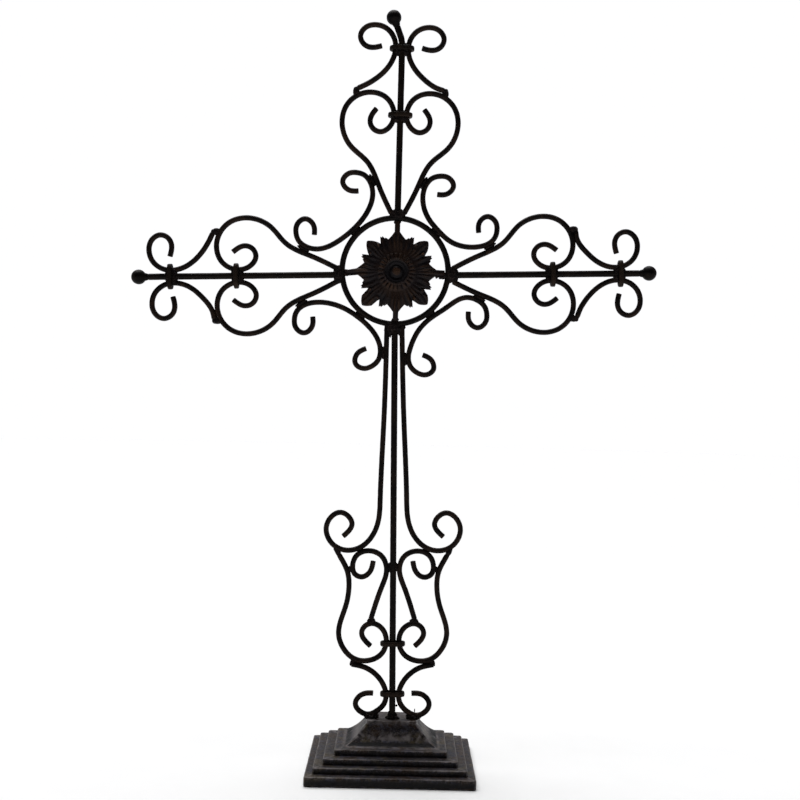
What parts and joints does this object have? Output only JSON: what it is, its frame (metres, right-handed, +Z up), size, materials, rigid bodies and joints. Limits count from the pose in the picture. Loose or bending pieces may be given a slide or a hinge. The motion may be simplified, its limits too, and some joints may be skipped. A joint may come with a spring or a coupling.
{
  "type": "wrought iron standing cross",
  "caption": "Standing cross of bent round iron rod scrolls held by collars, with a leafy rosette in a ring at the crossing, ball ends and a stepped rectangular base.",
  "frame": {"origin": "on the ground under the middle of the base, in the plane of the cross", "axes": "+Z up the cross, +X to the right arm as seen from the front, +Y towards the back"},
  "size_m": [0.5251, 0.1325, 0.7561],
  "materials": {
    "rod_iron": "satin near black brown",
    "bar_iron": "satin near black brown",
    "finial_iron": "satin near black brown",
    "rosette_iron": "satin dark brown",
    "base_iron": "satin mottled grey brown"
  },
  "bodies": {
    "root": {"base": "base_iron", "corner_scroll_lower_left": "rod_iron", "corner_scroll_lower_right": "rod_iron", "corner_scroll_upper_left": "rod_iron", "corner_scroll_upper_right": "rod_iron", "foot_collar": "rod_iron", "foot_scroll_left": "rod_iron", "foot_scroll_right": "rod_iron", "inner_scroll_left": "rod_iron", "inner_scroll_right": "rod_iron", "left_bar": "bar_iron", "left_finial": "finial_iron", "left_inner_collar": "rod_iron", "left_lyre_lower": "rod_iron", "left_lyre_upper": "rod_iron", "left_outer_collar": "rod_iron", "left_tip_scroll_lower": "rod_iron", "left_tip_scroll_upper": "rod_iron", "long_scroll_left": "rod_iron", "long_scroll_right": "rod_iron", "right_bar": "bar_iron", "right_finial": "finial_iron", "right_inner_collar": "rod_iron", "right_lyre_lower": "rod_iron", "right_lyre_upper": "rod_iron", "right_outer_collar": "rod_iron", "right_tip_scroll_lower": "rod_iron", "right_tip_scroll_upper": "rod_iron", "ring": "bar_iron", "rosette": "rosette_iron", "side_scroll_left": "rod_iron", "side_scroll_right": "rod_iron", "top_bar": "bar_iron", "top_finial": "finial_iron", "top_inner_collar": "rod_iron", "top_lyre_left": "rod_iron", "top_lyre_right": "rod_iron", "top_outer_collar": "rod_iron", "top_tip_scroll_left": "rod_iron", "top_tip_scroll_right": "rod_iron", "upright": "bar_iron", "waist_collar": "rod_iron"}
  },
  "joints": []
}
